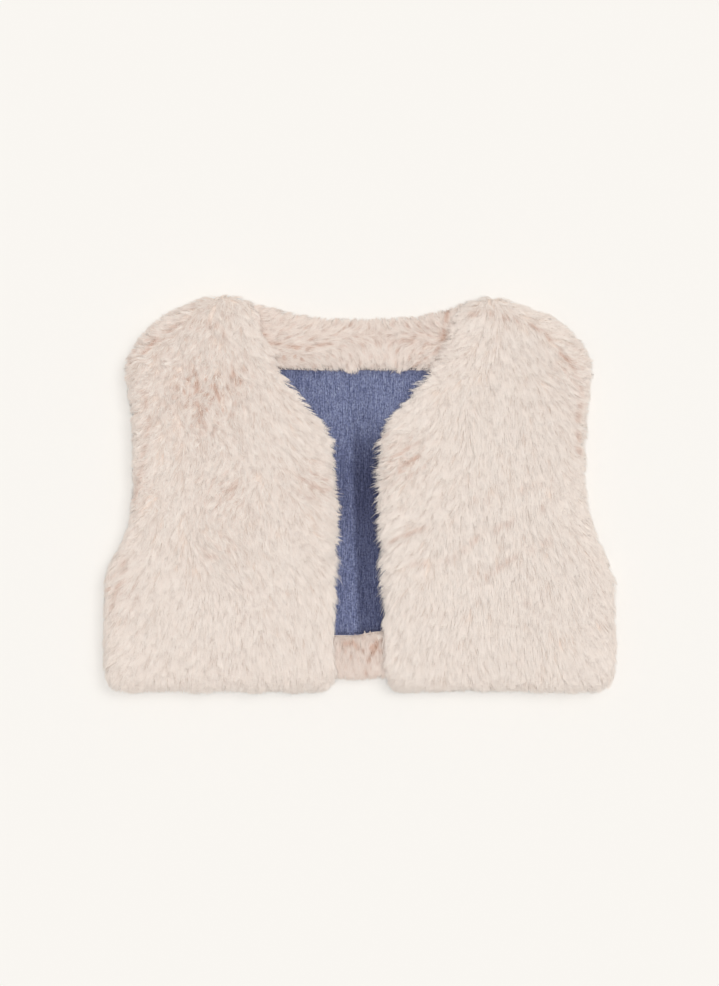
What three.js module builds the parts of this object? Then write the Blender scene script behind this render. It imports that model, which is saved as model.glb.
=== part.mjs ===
import * as THREE from 'three';

// A child's sleeveless faux fur vest, laid flat on its back with its fronts side by side.
// Millimetres: +X to the wearer's left, +Y to the neck, +Z up from the surface it lies on.
// Outlines run round the tips of the pile. The cloth's own edge is about 10 mm inside them.

// Size over the fur
const VEST_LENGTH = 288;
const HEM_Y = -VEST_LENGTH / 2;
const BACK_HEM_RISE = 10;
const SIDE_HEM_CORNER = 16;
const FRONT_HEM_CORNER = 17;

// Space between pieces at seams and between layers
const SEAM_GAP = 0.3;

// Levels of the layers above the surface
const LINING_THICKNESS = 1;
const BACK_TOP = 9;
const SEAM_LEVEL = 14;
const FACING_TOP = 16;
const FRONT_TOP = 27.5;
const FACING_BOTTOM = BACK_TOP + SEAM_GAP;
const LINING_TOP = FACING_BOTTOM + LINING_THICKNESS;
const FRONT_BOTTOM = LINING_TOP + SEAM_GAP;
const FACING_LIFT = FACING_TOP + SEAM_GAP - FRONT_BOTTOM;
const NOSE_RISE = SEAM_LEVEL + SEAM_GAP - FRONT_BOTTOM;
const HEM_DROOP = 7;

// The lining stops short of the side seams and armholes, and below the shoulders
const LINING_INSET = 12.5;
const LINING_TOP_UP = 224;

// Reach of the rounded edges, measured inward from an outline
const FRONT_ROLL = 17;
const BACK_ROLL = 12;
const FACING_ROLL = 11;
const SEAM_CURL_REACH = 10;
const NOSE_REACH = 8;
const FACING_CLEAR = 8;
const FACING_EASE = 9;

// Outer edge from the side seam's foot to the tip of the shoulder. Each row is a section: its
// height above the hem, and the half width on the wearer's right and left.
const SIDE_AND_ARMHOLE = [
  { up: SIDE_HEM_CORNER, right: 185, left: 185 },
  { up: 70, right: 184.8, left: 184.9 },
  { up: 87, right: 185, left: 184.7 },
  { up: 95, right: 183.4, left: 182 },
  { up: 109, right: 174.3, left: 175 },
  { up: 125, right: 167.4, left: 167.9 },
  { up: 141, right: 164.9, left: 163.8 },
  { up: 175, right: 164.6, left: 163.5 },
  { up: 211, right: 166.4, left: 165.4 },
  { up: 228, right: 168.2, left: 167.2 },
  { up: 241, right: 168.8, left: 168 },
];

// Shoulder from its tip to the neck point
const SHOULDER = [
  { up: 241, right: 168.8, left: 168 },
  { up: 247.5, right: 164.4, left: 163.6 },
  { up: 254.6, right: 159.4, left: 158.1 },
  { up: 262, right: 154.2, left: 152.4 },
  { up: 269, right: 146.2, left: 143.7 },
  { up: 276, right: 134.9, left: 130.8 },
  { up: 283.4, right: 116.2, left: 110.6 },
  { up: 288, right: 96, left: 92 },
  { up: 283.5, right: 79, left: 77.5 },
];

// Front edge and neckline of each front, from above the hem's corner to the neck point
const FRONT_EDGE = [
  { up: FRONT_HEM_CORNER, right: 14.3, left: 16.6 },
  { up: 40, right: 14, left: 16.4 },
  { up: 67, right: 15.4, left: 17.6 },
  { up: 96, right: 16, left: 17 },
  { up: 122, right: 14.4, left: 13.2 },
  { up: 152, right: 15.4, left: 12 },
  { up: 174, right: 16.8, left: 12.4 },
  { up: 188, right: 20.6, left: 13.8 },
  { up: 196, right: 24.5, left: 18 },
  { up: 205, right: 33, left: 26.5 },
  { up: 215, right: 43, left: 35.5 },
  { up: 234, right: 55, left: 49.5 },
  { up: 251, right: 61, left: 60.2 },
  { up: 269, right: 70, left: 64.6 },
  { up: 283.5, right: 79, left: 77.5 },
];

// Back neck edge between the neck points
const NECK_EDGE = [
  { x: -79, up: 283.5 },
  { x: -62, up: 278.6 },
  { x: -43, up: 274 },
  { x: -24, up: 271.2 },
  { x: 0, up: 270.8 },
  { x: 24, up: 271 },
  { x: 45, up: 273.6 },
  { x: 63, up: 278 },
  { x: 77.5, up: 283.5 },
];

// Lower edge of the neck facing: straight across the back, then up to the shoulder seams
const NECK_FACING_EDGE = [
  { x: -106, up: 272 },
  { x: -90, up: 248 },
  { x: -66, up: 235 },
  { x: -50, up: 233.8 },
  { x: 0, up: 233.6 },
  { x: 50, up: 233.8 },
  { x: 66, up: 235 },
  { x: 89, up: 248 },
  { x: 104, up: 271 },
];
const HEM_FACING_UP = 44.6;
const HEM_FACING_HALF = 168;

// Soft troughs in the lie of the fur on the fronts, each along a line between two places
const TROUGHS = [
  { fromX: 37, fromY: -51, toX: 84, toY: -33, depth: 1.3, spread: 6 },
  { fromX: 84, fromY: -33, toX: 114, toY: -19, depth: 1.5, spread: 6 },
  { fromX: 90, fromY: -61, toX: 138, toY: -32, depth: 1.3, spread: 6 },
  { fromX: 26, fromY: -9, toX: 92, toY: -5, depth: 1.1, spread: 6 },
  { fromX: 92, fromY: -5, toX: 134, toY: 10, depth: 1.3, spread: 6 },
  { fromX: 60, fromY: 22, toX: 108, toY: 34, depth: 0.9, spread: 7 },
  { fromX: 52, fromY: -92, toX: 128, toY: -84, depth: 0.8, spread: 8 },
  { fromX: -117, fromY: 86, toX: -116, toY: 66, depth: 1.6, spread: 5 },
  { fromX: -104, fromY: 82, toX: -92, toY: 58, depth: 1.2, spread: 5 },
  { fromX: -104, fromY: -3, toX: -76, toY: 10, depth: 1.3, spread: 6 },
  { fromX: -112, fromY: -46, toX: -80, toY: -31, depth: 1.3, spread: 6 },
  { fromX: -146, fromY: -74, toX: -96, toY: -92, depth: 0.9, spread: 8 },
  { fromX: -62, fromY: 36, toX: -40, toY: 8, depth: 0.9, spread: 7 },
];

// The pile turns over the shoulder and armhole, which leaves a shallow groove inside the edge
const GROOVE_INSET = 15;
const GROOVE_WIDTH = 4;
const GROOVE_DEPTH = 1.3;
const GROOVE_FOOT_UP = 112;

// Broad swell of the fur over each front, and how the waves of it spread
const SWELL = 1;
const SWELL_SPREAD_X = 38;
const SWELL_SPREAD_Y = 52;

// Fineness of the outlines. A grid has the given count of even cells between narrow ones by its
// edges, whose distances from the edge are listed.
const CURVE_STEPS = 160;
const ARC_STEPS = 8;
const BACK_GRID = { width: 360, length: 270, across: 26, along: 14, edge: [0, 0.9, 2.8, 6, 11] };
const FRONT_GRID = { width: 145, length: 285, across: 13, along: 28, edge: [0, 0.9, 3, 7, 12, 18] };
const NECK_FACING_GRID = { width: 190, length: 36, across: 20, along: 4, edge: [0, 1, 4, 9] };
const HEM_FACING_GRID = { width: 336, length: 34, across: 20, along: 4, edge: [0, 1, 4, 9] };
const LINING_GRID = { width: 330, length: 190, across: 30, along: 10, edge: [0] };

const FUR_CREAM = 0xe5d6cb;
const DENIM_BLUE = 0x5f6685;

function smoothStep(from, to, value) {
  const t = THREE.MathUtils.clamp((value - from) / (to - from), 0, 1);
  return t * t * (3 - 2 * t);
}

// Quarter ellipse: 0 at an outline, 1 from the reach inward
function roundedRise(distance, reach) {
  const t = THREE.MathUtils.clamp(distance / reach, 0, 1);
  return Math.sqrt(1 - (1 - t) ** 2);
}

// Eased fall: 1 at an outline, 0 from the reach inward
function easedFall(distance, reach) {
  const t = THREE.MathUtils.clamp(distance / reach, 0, 1);
  return (1 - t) ** 2;
}

function smoothLine(points) {
  const corners = points.map((p) => new THREE.Vector3(p.x, p.y, 0));
  const curve = new THREE.CatmullRomCurve3(corners, false, 'centripetal');
  return curve.getPoints(CURVE_STEPS).map((p) => new THREE.Vector2(p.x, p.y));
}

function arcLine(x, y, radius, startDegrees, endDegrees) {
  const points = [];
  for (let i = 0; i <= ARC_STEPS; i += 1) {
    const angle = THREE.MathUtils.degToRad(startDegrees + ((endDegrees - startDegrees) * i) / ARC_STEPS);
    points.push(new THREE.Vector2(x + radius * Math.cos(angle), y + radius * Math.sin(angle)));
  }
  return points;
}

function sideRows(rows, side) {
  const sign = side === 'left' ? 1 : -1;
  return rows.map((row) => ({ x: sign * row[side], y: HEM_Y + row.up }));
}

function placedRows(rows) {
  return rows.map((row) => ({ x: row.x, y: HEM_Y + row.up }));
}

function mirrored(points) {
  return points.map((p) => new THREE.Vector2(-p.x, p.y));
}

// The point a share of the way along a line, by length
function sampler(line) {
  const lengths = [0];
  for (let i = 1; i < line.length; i += 1) {
    lengths.push(lengths[i - 1] + line[i].distanceTo(line[i - 1]));
  }
  const total = lengths[lengths.length - 1];
  return (share) => {
    const target = THREE.MathUtils.clamp(share, 0, 1) * total;
    let i = 1;
    while (i < line.length - 1 && lengths[i] < target) i += 1;
    const span = lengths[i] - lengths[i - 1] || 1;
    return line[i - 1].clone().lerp(line[i], (target - lengths[i - 1]) / span);
  };
}

// Distance from a place to a closed outline, positive inside it
function depthInside(outline, x, y) {
  let nearest = Infinity;
  let inside = false;
  for (let i = 0; i < outline.length; i += 1) {
    const a = outline[i];
    const b = outline[(i + 1) % outline.length];
    const dx = b.x - a.x;
    const dy = b.y - a.y;
    const along = ((x - a.x) * dx + (y - a.y) * dy) / (dx * dx + dy * dy || 1);
    const t = THREE.MathUtils.clamp(along, 0, 1);
    nearest = Math.min(nearest, Math.hypot(x - a.x - t * dx, y - a.y - t * dy));
    if (a.y > y !== b.y > y && x < a.x + ((y - a.y) / dy) * dx) inside = !inside;
  }
  return inside ? nearest : -nearest;
}

// A panel's plan has four edges: foot and head run across it, near and far run up it
function planOutline(edges) {
  return [...edges.foot, ...edges.far, ...[...edges.head].reverse(), ...[...edges.near].reverse()];
}

// Shares of a length at which a grid is cut: narrow steps by both edges, even ones between
function gridShares(length, count, edge) {
  const near = edge.map((step) => step / length);
  const last = near[near.length - 1];
  const shares = [...near];
  for (let i = 1; i < count; i += 1) shares.push(last + ((1 - 2 * last) * i) / count);
  return [...shares, ...near.map((share) => 1 - share).reverse()];
}

// Points inside four edges, blended from them
function planGrid(edges, spacing) {
  const across = gridShares(spacing.width, spacing.across, spacing.edge);
  const along = gridShares(spacing.length, spacing.along, spacing.edge);
  const foot = sampler(edges.foot);
  const head = sampler(edges.head);
  const near = sampler(edges.near);
  const far = sampler(edges.far);
  return along.map((v) => across.map((u) => {
    const blend = (axis) => (1 - v) * foot(u)[axis] + v * head(u)[axis]
      + (1 - u) * near(v)[axis] + u * far(v)[axis]
      - (1 - u) * (1 - v) * foot(0)[axis] - u * (1 - v) * foot(1)[axis]
      - (1 - u) * v * head(0)[axis] - u * v * head(1)[axis];
    return new THREE.Vector2(blend('x'), blend('y'));
  }));
}

// One closed body between an upper and a lower surface over the same grid. The two share their
// rim where they meet there, and otherwise a wall joins them.
function layerGeometry(grid, upperLevel, lowerLevel, hasWall) {
  const rows = grid.length;
  const columns = grid[0].length;
  const positions = [];
  const upper = [];
  const lower = [];
  grid.forEach((row, j) => row.forEach((place, i) => {
    const onRim = i === 0 || j === 0 || i === columns - 1 || j === rows - 1;
    positions.push(place.x, place.y, upperLevel(place.x, place.y, onRim));
    upper.push(positions.length / 3 - 1);
    if (onRim && !hasWall) {
      lower.push(upper[upper.length - 1]);
    } else {
      positions.push(place.x, place.y, lowerLevel(place.x, place.y, onRim));
      lower.push(positions.length / 3 - 1);
    }
  }));
  const index = [];
  for (let j = 0; j < rows - 1; j += 1) {
    for (let i = 0; i < columns - 1; i += 1) {
      const a = j * columns + i;
      const b = a + 1;
      const c = a + columns + 1;
      const d = a + columns;
      index.push(upper[a], upper[b], upper[c], upper[a], upper[c], upper[d]);
      index.push(lower[a], lower[c], lower[b], lower[a], lower[d], lower[c]);
    }
  }
  if (hasWall) {
    const rim = [];
    for (let i = 0; i < columns - 1; i += 1) rim.push(i);
    for (let j = 0; j < rows - 1; j += 1) rim.push(j * columns + columns - 1);
    for (let i = columns - 1; i > 0; i -= 1) rim.push((rows - 1) * columns + i);
    for (let j = rows - 1; j > 0; j -= 1) rim.push(j * columns);
    rim.forEach((a, i) => {
      const b = rim[(i + 1) % rim.length];
      index.push(lower[a], lower[b], upper[b], lower[a], upper[b], upper[a]);
    });
  }
  const geometry = new THREE.BufferGeometry();
  geometry.setAttribute('position', new THREE.Float32BufferAttribute(positions, 3));
  geometry.setIndex(index);
  geometry.computeVertexNormals();
  return geometry;
}

// Outlines

const SIDE_CORNER_X = SIDE_AND_ARMHOLE[0].left - SIDE_HEM_CORNER;

function sideHemCorner(startDegrees, endDegrees) {
  return arcLine(SIDE_CORNER_X, HEM_Y + SIDE_HEM_CORNER, SIDE_HEM_CORNER, startDegrees, endDegrees);
}

const sideEdge = {};
const shoulderEdge = {};
for (const side of ['left', 'right']) {
  const corner = sideHemCorner(-45, 0);
  const foot = side === 'left' ? corner : mirrored(corner);
  sideEdge[side] = [...foot.slice(0, -1), ...smoothLine(sideRows(SIDE_AND_ARMHOLE, side))];
  shoulderEdge[side] = smoothLine(sideRows(SHOULDER, side));
}

// The back's hem rises towards the centre between its rounded corners
function backHemLine() {
  const corner = sideHemCorner(-90, -45);
  const middle = [];
  for (let i = 1; i < CURVE_STEPS; i += 1) {
    const x = SIDE_CORNER_X * ((2 * i) / CURVE_STEPS - 1);
    const rise = BACK_HEM_RISE * smoothStep(0, SIDE_CORNER_X, SIDE_CORNER_X - Math.abs(x));
    middle.push(new THREE.Vector2(x, HEM_Y + rise));
  }
  return [...mirrored(corner).reverse(), ...middle, ...corner];
}

const neckEdge = smoothLine(placedRows(NECK_EDGE));
const backEdges = {
  foot: backHemLine(),
  head: [...shoulderEdge.right, ...neckEdge.slice(1), ...[...shoulderEdge.left].reverse().slice(1)],
  near: sideEdge.right,
  far: sideEdge.left,
};
const backOutline = planOutline(backEdges);

const neckFacingFoot = smoothLine(placedRows(NECK_FACING_EDGE));
const neckFacingEdges = {
  foot: neckFacingFoot,
  head: neckEdge,
  near: [neckFacingFoot[0], neckEdge[0]],
  far: [neckFacingFoot[neckFacingFoot.length - 1], neckEdge[neckEdge.length - 1]],
};
const neckFacingOutline = planOutline(neckFacingEdges);

const hemFacingFoot = backEdges.foot.filter((p) => Math.abs(p.x) <= HEM_FACING_HALF);
const hemFacingHead = [-HEM_FACING_HALF, 0, HEM_FACING_HALF].map(
  (x) => new THREE.Vector2(x, HEM_Y + HEM_FACING_UP - SEAM_GAP),
);
const hemFacingEdges = {
  foot: hemFacingFoot,
  head: hemFacingHead,
  near: [hemFacingFoot[0], hemFacingHead[0]],
  far: [hemFacingFoot[hemFacingFoot.length - 1], hemFacingHead[2]],
};
const hemFacingOutline = planOutline(hemFacingEdges);

// Edges of one front: the near one is the front edge and neckline, the far one the side seam
// and armhole
function frontEdges(side) {
  const cornerX = FRONT_EDGE[0][side] + FRONT_HEM_CORNER;
  const cornerY = HEM_Y + FRONT_HEM_CORNER;
  const footCorner = arcLine(cornerX, cornerY, FRONT_HEM_CORNER, 225, 270);
  const edgeCorner = arcLine(cornerX, cornerY, FRONT_HEM_CORNER, 225, 180);
  const place = side === 'left' ? (points) => points : mirrored;
  return {
    foot: place([...footCorner, ...sideHemCorner(-90, -45)]),
    near: [...place(edgeCorner).slice(0, -1), ...smoothLine(sideRows(FRONT_EDGE, side))],
    far: sideEdge[side],
    head: [...shoulderEdge[side]].reverse(),
  };
}

// Levels

// 1 over the facings, 0 well away from them
function facingShare(x, y) {
  const outside = -Math.max(depthInside(neckFacingOutline, x, y), depthInside(hemFacingOutline, x, y));
  return 1 - smoothStep(FACING_CLEAR, FACING_CLEAR + FACING_EASE, outside);
}

function backRim(x, y) {
  return THREE.MathUtils.lerp(SEAM_LEVEL, BACK_TOP, facingShare(x, y));
}

function backUpper(x, y, onRim) {
  const depth = onRim ? 0 : depthInside(backOutline, x, y);
  return THREE.MathUtils.lerp(BACK_TOP, backRim(x, y), easedFall(depth, SEAM_CURL_REACH));
}

function backLower(x, y) {
  const depth = depthInside(backOutline, x, y);
  return backRim(x, y) * (1 - roundedRise(depth, BACK_ROLL));
}

function facingUpper(outline) {
  return (x, y, onRim) => {
    const rise = onRim ? 0 : roundedRise(depthInside(outline, x, y), FACING_ROLL);
    return THREE.MathUtils.lerp(FACING_BOTTOM, FACING_TOP, rise);
  };
}

// Underside of a front: on the lining, up over the facings and at the seams, and down where the
// hem overhangs the back
function frontLower(outline, x, y, onRim) {
  const inBack = depthInside(backOutline, x, y);
  const inFront = onRim ? 0 : depthInside(outline, x, y);
  const seamCurl = 1 - smoothStep(0, SEAM_CURL_REACH, inBack);
  const noseCurl = 1 - smoothStep(0, NOSE_REACH, inFront);
  const curl = Math.max(seamCurl, noseCurl);
  const lift = FACING_LIFT * facingShare(x, y) * smoothStep(0, FACING_EASE, inBack);
  const droop = HEM_DROOP * smoothStep(0, FACING_EASE, -inBack);
  return FRONT_BOTTOM + lift + NOSE_RISE * curl - droop;
}

function troughDepth(x, y) {
  return TROUGHS.reduce((sum, trough) => {
    const dx = trough.toX - trough.fromX;
    const dy = trough.toY - trough.fromY;
    const along = ((x - trough.fromX) * dx + (y - trough.fromY) * dy) / (dx * dx + dy * dy);
    const t = THREE.MathUtils.clamp(along, 0, 1);
    const away = Math.hypot(x - trough.fromX - t * dx, y - trough.fromY - t * dy);
    return sum + trough.depth * Math.exp(-((away / trough.spread) ** 2));
  }, 0);
}

function grooveDepth(inBack, y) {
  const share = smoothStep(GROOVE_FOOT_UP, GROOVE_FOOT_UP + 2 * GROOVE_INSET, y - HEM_Y);
  return GROOVE_DEPTH * share * Math.exp(-(((inBack - GROOVE_INSET) / GROOVE_WIDTH) ** 2));
}

function frontUpper(outline, x, y, onRim) {
  const inFront = onRim ? 0 : depthInside(outline, x, y);
  const edge = frontLower(outline, x, y, true);
  const inBack = depthInside(backOutline, x, y);
  const swell = SWELL * Math.cos(x / SWELL_SPREAD_X) * Math.cos(y / SWELL_SPREAD_Y);
  const crown = FRONT_TOP + swell - troughDepth(x, y) - grooveDepth(inBack, y);
  return THREE.MathUtils.lerp(edge, crown, roundedRise(inFront, FRONT_ROLL));
}

// Materials

const furMaterial = new THREE.MeshStandardMaterial({ color: FUR_CREAM, roughness: 0.9, metalness: 0 });
const denimMaterial = new THREE.MeshStandardMaterial({ color: DENIM_BLUE, roughness: 0.85, metalness: 0 });

function piece(name, geometry, material) {
  const mesh = new THREE.Mesh(geometry, material.clone());
  mesh.name = name;
  return mesh;
}

// Pieces

function makeBack() {
  const grid = planGrid(backEdges, BACK_GRID);
  return piece('back', layerGeometry(grid, backUpper, backLower, false), furMaterial);
}

function makeFront(side) {
  const edges = frontEdges(side);
  const outline = planOutline(edges);
  const grid = planGrid(edges, FRONT_GRID);
  if (side === 'right') grid.forEach((row) => row.reverse());
  const geometry = layerGeometry(
    grid,
    (x, y, onRim) => frontUpper(outline, x, y, onRim),
    (x, y, onRim) => frontLower(outline, x, y, onRim),
    false,
  );
  return piece(`front_${side}`, geometry, furMaterial);
}

function makeFacing(name, edges, outline, spacing) {
  const grid = planGrid(edges, spacing);
  return piece(name, layerGeometry(grid, facingUpper(outline), () => FACING_BOTTOM, false), furMaterial);
}

// The lining fills the back inside its seams, between the neck facing and the hem facing
function makeLining() {
  const insetRows = (side) => sideEdge[side]
    .filter((p) => p.y > HEM_Y + HEM_FACING_UP && p.y < HEM_Y + LINING_TOP_UP)
    .map((p) => new THREE.Vector2(p.x - Math.sign(p.x) * LINING_INSET, p.y));
  const near = insetRows('right');
  const far = insetRows('left');
  const footY = HEM_Y + HEM_FACING_UP;
  near.unshift(new THREE.Vector2(near[0].x, footY));
  far.unshift(new THREE.Vector2(far[0].x, footY));
  const clear = 2 * SEAM_GAP;
  const underFacing = neckFacingFoot.map((p, i) => {
    const before = neckFacingFoot[Math.max(i - 1, 0)];
    const after = neckFacingFoot[Math.min(i + 1, neckFacingFoot.length - 1)];
    const run = after.clone().sub(before).normalize();
    return new THREE.Vector2(p.x + run.y * clear, p.y - run.x * clear);
  });
  const edges = {
    foot: [near[0], far[0]],
    head: [near[near.length - 1], ...underFacing, far[far.length - 1]],
    near,
    far,
  };
  const grid = planGrid(edges, LINING_GRID);
  const geometry = layerGeometry(grid, () => LINING_TOP, () => FACING_BOTTOM, true);
  return piece('back_lining', geometry, denimMaterial);
}

const vest = new THREE.Group();
vest.add(makeBack());
vest.add(makeLining());
vest.add(makeFacing('back_neck_facing', neckFacingEdges, neckFacingOutline, NECK_FACING_GRID));
vest.add(makeFacing('back_hem_facing', hemFacingEdges, hemFacingOutline, HEM_FACING_GRID));
vest.add(makeFront('left'));
vest.add(makeFront('right'));

// The origin is under the middle of the vest's box
const box = new THREE.Box3().setFromObject(vest);
const middle = box.getCenter(new THREE.Vector3());
vest.position.set(-middle.x, -middle.y, -box.min.z);

export default vest;
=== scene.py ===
import math

import bmesh
import bpy
import numpy as np
from mathutils import Matrix, Vector
from mathutils.bvhtree import BVHTree
from mathutils.kdtree import KDTree


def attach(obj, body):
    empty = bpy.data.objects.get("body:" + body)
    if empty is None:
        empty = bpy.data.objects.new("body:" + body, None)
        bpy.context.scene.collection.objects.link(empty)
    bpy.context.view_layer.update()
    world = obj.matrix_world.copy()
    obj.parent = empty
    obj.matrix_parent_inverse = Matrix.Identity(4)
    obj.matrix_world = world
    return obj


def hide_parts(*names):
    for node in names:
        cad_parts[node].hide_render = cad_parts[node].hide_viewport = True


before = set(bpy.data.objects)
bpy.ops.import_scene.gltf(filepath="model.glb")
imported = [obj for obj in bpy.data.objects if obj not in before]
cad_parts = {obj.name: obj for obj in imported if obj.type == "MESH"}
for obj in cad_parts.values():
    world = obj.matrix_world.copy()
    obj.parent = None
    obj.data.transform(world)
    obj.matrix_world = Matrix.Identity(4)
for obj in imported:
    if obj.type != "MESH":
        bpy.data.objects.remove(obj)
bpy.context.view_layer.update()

# A child's faux fur vest laid flat. Metres, in the part's own frame: +X to the wearer's left,
# +Y to the neck, +Z up.
MM = 0.001

# The photograph's frame, and where the vest's middle falls in it
PHOTO_W = 719
PHOTO_H = 986
PHOTO_MIDDLE_X = 359.4
PHOTO_MIDDLE_Y = 493.5
METRES_PER_PIXEL = 0.72 * MM

# The camera looks straight down, and a pixel has that scale at this height
LENS = 120.0
SENSOR = 36.0
MEASURED_LEVEL = 14 * MM

# Light: a pale surround, a strong lamp straight overhead, and a weaker and softer one from the
# upper right
SURROUND = 0.22
OVERHEAD_STRENGTH = 1.91
OVERHEAD_SOFTNESS = math.radians(16)
LAMP_STRENGTH = 0.62
LAMP_SOFTNESS = math.radians(28)
LAMP_ELEVATION = math.radians(66)
LAMP_AZIMUTH = math.radians(32)

# The floor lies just below the vest, clear of its lowest hairs
FLOOR_COLOUR = (0.943, 0.917, 0.876)
FLOOR_HALF = 4.0
FLOOR_DEPTH = 0.3 * MM

# The solids reach to the tips of the pile. The body under it is drawn in from a solid's edge by
# an inset, which fades out within the reach.
BODY_SIDE_INSET = 4.5 * MM
BACK_SIDE_INSET = 7 * MM
NECK_INNER_INSET = 1.5 * MM
HEM_INNER_INSET = 0.3 * MM
FACING_OUTER_INSET = 4.5 * MM
BODY_EDGE_REACH = 18 * MM

# Above these levels it keeps a share of the solid's height, and the back's underside is raised
FRONT_RIM = 14.3 * MM
FRONT_BODY_SHARE = 0.68
FACING_FLOOR = 9.3 * MM
FACING_BODY_SHARE = 0.5
BACK_RIM = 14 * MM
BACK_BODY_LIFT = 2.2 * MM
BACK_TOP_NORMAL = 0.3

# The lining's top, and how far it shows past its solid's lower edge by the hem facing
LINING_TOP = 10.3 * MM
LINING_TOP_BAND = 0.2 * MM
LINING_TOP_NORMAL = 0.7
LINING_LOW_Y = -97 * MM
LINING_DROP = 2.8 * MM
LINING_DROP_X = (14 * MM, -4 * MM)

# The opening between the fronts, which widens above the neckline's start
OPENING_Y = (-128 * MM, 128 * MM)
NECKLINE_Y = 40 * MM
NECKLINE_SLOPE = 0.75

SEED = 7


def unit(v):
    length = np.linalg.norm(v, axis=-1, keepdims=True)
    return v / np.maximum(length, 1e-12)


def smooth_step(low, high, value):
    t = np.clip((value - low) / (high - low), 0, 1)
    return t * t * (3 - 2 * t)


# Soft noise from a few waves of random direction: about -1 to 1, changing over the given size
def make_waves(seed, size, count=9):
    rng = np.random.default_rng(seed)
    angle = rng.uniform(0, 2 * np.pi, count)
    length = size * rng.uniform(0.7, 1.6, count)
    wave = 2 * np.pi * np.stack([np.cos(angle), np.sin(angle)], 1) / length[:, None]
    phase = rng.uniform(0, 2 * np.pi, count)

    def noise(xy):
        return np.sin(xy @ wave.T + phase).sum(-1) / math.sqrt(count)

    return noise


def new_object(name, mesh):
    obj = bpy.data.objects.new(name, mesh)
    bpy.context.scene.collection.objects.link(obj)
    return obj


# Painted shade on the denim along its height: darker in the middle, where the fronts shade it,
# and paler near both ends
HEIGHT_SHADE_LOW = -95 * MM
HEIGHT_SHADE_HIGH = 85 * MM
HEIGHT_SHADE = [(0.0, (1.25, 1.25, 1.23)), (0.2, (1.18, 1.18, 1.17)), (0.45, (0.86, 0.85, 0.88)),
        (0.62, (0.88, 0.88, 0.9)), (0.8, (1.15, 1.15, 1.13))]

# A long soft fold runs down the lining's middle. On the wearer's left of it the denim is darkened
# by a painted shadow of the wearer's left front. The fold is steeper on that side.
FOLD_X = -5.6 * MM
FOLD_LEAN = -0.03
FOLD_HALF = 6 * MM
FOLD_HEIGHT = 1.3 * MM
FOLD_TOP = (70 * MM, 20 * MM)
FOLD_PAINTED_SHADOW = (0.42, 0.42, 0.47)
FOLD_PAINTED_SHADOW_BAND = (-2 * MM, 4 * MM)
FOLD_RIGHT_STEEPNESS = 0.7
FOLD_LEFT_STEEPNESS = 3.0
RIPPLE_HEIGHT = 0.12 * MM
RIPPLE_X = 9 * MM
RIPPLE_Y = 31 * MM
RIPPLE_SWAY = 1.3

# Materials

def node_material(name, roughness, sheen=0.0, sheen_roughness=0.5, specular=0.3):
    material = bpy.data.materials.new(name)
    material.use_nodes = True
    shader = material.node_tree.nodes["Principled BSDF"]
    shader.inputs["Roughness"].default_value = roughness
    shader.inputs["Sheen Weight"].default_value = sheen
    shader.inputs["Sheen Roughness"].default_value = sheen_roughness
    shader.inputs["Specular IOR Level"].default_value = specular
    return material, material.node_tree, shader


def add_node(tree, kind, **settings):
    node = tree.nodes.new(kind)
    for key, value in settings.items():
        setattr(node, key, value)
    return node


def ramp_node(tree, source, stops):
    ramp = tree.nodes.new("ShaderNodeValToRGB")
    while len(ramp.color_ramp.elements) < len(stops):
        ramp.color_ramp.elements.new(0.5)
    for element, (place, colour) in zip(ramp.color_ramp.elements, stops):
        element.position = place
        element.color = (*colour, 1)
    tree.links.new(source, ramp.inputs["Fac"])
    return ramp.outputs["Color"]


def mix_node(tree, factor, first, second, blend="MIX"):
    mix = add_node(tree, "ShaderNodeMix", data_type="RGBA", blend_type=blend)
    for socket, value in ((0, factor), (6, first), (7, second)):
        if isinstance(value, bpy.types.NodeSocket):
            tree.links.new(value, mix.inputs[socket])
        elif socket == 0:
            mix.inputs[socket].default_value = value
        else:
            mix.inputs[socket].default_value = (*value, 1)
    return mix.outputs[2]


def noise_node(tree, vector, scale, detail=2.0, roughness=0.5):
    noise = add_node(tree, "ShaderNodeTexNoise")
    noise.inputs["Scale"].default_value = scale
    noise.inputs["Detail"].default_value = detail
    noise.inputs["Roughness"].default_value = roughness
    tree.links.new(vector, noise.inputs["Vector"])
    return noise.outputs["Fac"]


def scaled_place(tree, scale):
    place = add_node(tree, "ShaderNodeTexCoord").outputs["Object"]
    mapping = add_node(tree, "ShaderNodeMapping")
    mapping.inputs["Scale"].default_value = scale
    tree.links.new(place, mapping.inputs["Vector"])
    return mapping.outputs["Vector"]


def bump_node(tree, height, strength, distance, shader):
    bump = add_node(tree, "ShaderNodeBump")
    bump.inputs["Strength"].default_value = strength
    bump.inputs["Distance"].default_value = distance
    tree.links.new(height, bump.inputs["Height"])
    tree.links.new(bump.outputs["Normal"], shader.inputs["Normal"])


# A strand's map runs along it in V and holds its tone in U
def strand_material():
    material, tree, shader = node_material("fur_strands", 0.75, sheen=0.25, specular=0.15)
    uv = add_node(tree, "ShaderNodeUVMap", uv_map="OFBake").outputs["UV"]
    parts = add_node(tree, "ShaderNodeSeparateXYZ")
    tree.links.new(uv, parts.inputs[0])
    # The dark ramp gives darker locks, and the painted shade of creases, pits and the hem
    # facing's slot
    dark = ramp_node(tree, parts.outputs["Y"], [
        (0.0, (0.40, 0.22, 0.15)),
        (0.30, (0.56, 0.35, 0.26)),
        (0.70, (0.71, 0.50, 0.40)),
        (1.0, (0.79, 0.59, 0.49)),
    ])
    pale = ramp_node(tree, parts.outputs["Y"], [
        (0.0, (0.94, 0.83, 0.735)),
        (0.30, (0.975, 0.90, 0.828)),
        (0.70, (0.98, 0.914, 0.846)),
        (1.0, (0.98, 0.918, 0.852)),
    ])
    colour = mix_node(tree, parts.outputs["X"], dark, pale)
    tree.links.new(colour, shader.inputs["Base Color"])
    return material


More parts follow.
